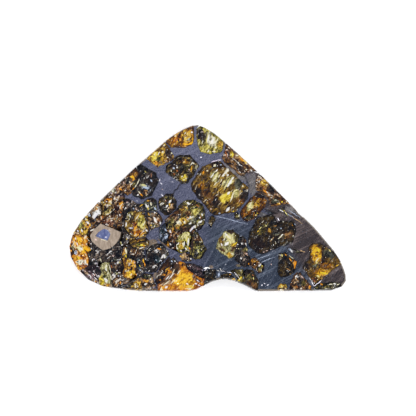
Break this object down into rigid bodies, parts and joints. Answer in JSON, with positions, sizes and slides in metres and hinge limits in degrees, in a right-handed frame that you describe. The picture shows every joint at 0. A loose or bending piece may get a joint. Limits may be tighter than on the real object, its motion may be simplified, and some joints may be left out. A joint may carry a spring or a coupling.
{
  "type": "pallasite meteorite slice",
  "caption": "Thin polished slice of a stony-iron meteorite, a rounded triangle: olivine crystals set in nickel-iron, with a tan nodule. Lies flat on its back face.",
  "frame": {"origin": "middle of the slice's length and width, on its back face", "axes": "+X along the long lower edge, to the right seen from the polished front; +Y towards the apex; +Z out of the polished front"},
  "size_m": [0.0552, 0.0334, 0.003],
  "materials": {
    "nickel_iron": "polished, fine scratches",
    "nodule": "satin polish",
    "nodule_core": "polished",
    "olivine_amber": "polished, see-through",
    "olivine_yellow": "polished, see-through",
    "olivine_green": "polished, see-through",
    "olivine_brown": "polished, see-through",
    "olivine_dark": "polished, see-through",
    "olivine_pale": "polished, see-through"
  },
  "bodies": {
    "root": {"metal": "nickel_iron", "nodule": "nodule", "nodule_core": "nodule_core", "olivine_apex_left": "olivine_amber", "olivine_apex_right": "olivine_yellow", "olivine_upper_left_edge": "olivine_yellow", "olivine_round_upper": "olivine_dark", "olivine_largest": "olivine_green", "olivine_right_edge_upper": "olivine_amber", "olivine_right_edge_lower": "olivine_brown", "olivine_oval": "olivine_amber", "olivine_oval_sliver": "olivine_green", "olivine_shoulder_dark": "olivine_dark", "olivine_shoulder_amber": "olivine_amber", "olivine_small_dark": "olivine_dark", "olivine_diagonal_upper": "olivine_yellow", "olivine_diagonal_yellow": "olivine_pale", "olivine_diagonal_olive": "olivine_green", "olivine_bead": "olivine_green", "olivine_pale": "olivine_pale", "olivine_beside_pale": "olivine_dark", "olivine_chain_end": "olivine_brown", "olivine_large_dark": "olivine_dark", "olivine_orange_corner": "olivine_brown", "olivine_right_corner": "olivine_yellow", "olivine_lower_right_brown": "olivine_brown", "olivine_lower_right_edge": "olivine_green", "olivine_lower_edge_bead": "olivine_yellow", "olivine_notch_right": "olivine_brown", "olivine_notch_middle": "olivine_yellow", "olivine_notch_left": "olivine_green", "olivine_notch_dark": "olivine_dark", "olivine_lower_edge_amber": "olivine_amber", "olivine_lower_dark_wedge": "olivine_dark", "olivine_lower_bead": "olivine_green", "olivine_brown_band": "olivine_brown", "olivine_lower_dark": "olivine_dark", "olivine_diagonal_brown": "olivine_brown", "olivine_diagonal_foot": "olivine_brown", "olivine_grey_glints": "olivine_dark", "olivine_swirl": "olivine_green", "olivine_left_amber": "olivine_yellow", "olivine_grey_green": "olivine_green", "olivine_white_glints": "olivine_pale", "olivine_amber_column": "olivine_amber", "olivine_yellow_green": "olivine_yellow", "olivine_left_edge_amber": "olivine_amber", "olivine_left_edge_pale": "olivine_pale", "olivine_left_edge_glints": "olivine_pale", "olivine_bottom_left_gold": "olivine_amber", "olivine_bottom_left_cap": "olivine_dark", "olivine_upper_left_brown": "olivine_brown", "olivine_left_tawny": "olivine_amber", "olivine_left_brown": "olivine_brown", "olivine_above_nodule": "olivine_brown", "olivine_black_gusset": "olivine_dark", "olivine_black_centre": "olivine_dark", "olivine_black_under_nodule": "olivine_dark", "olivine_lower_left_brown": "olivine_brown", "olivine_black_lower": "olivine_dark"}
  },
  "joints": []
}
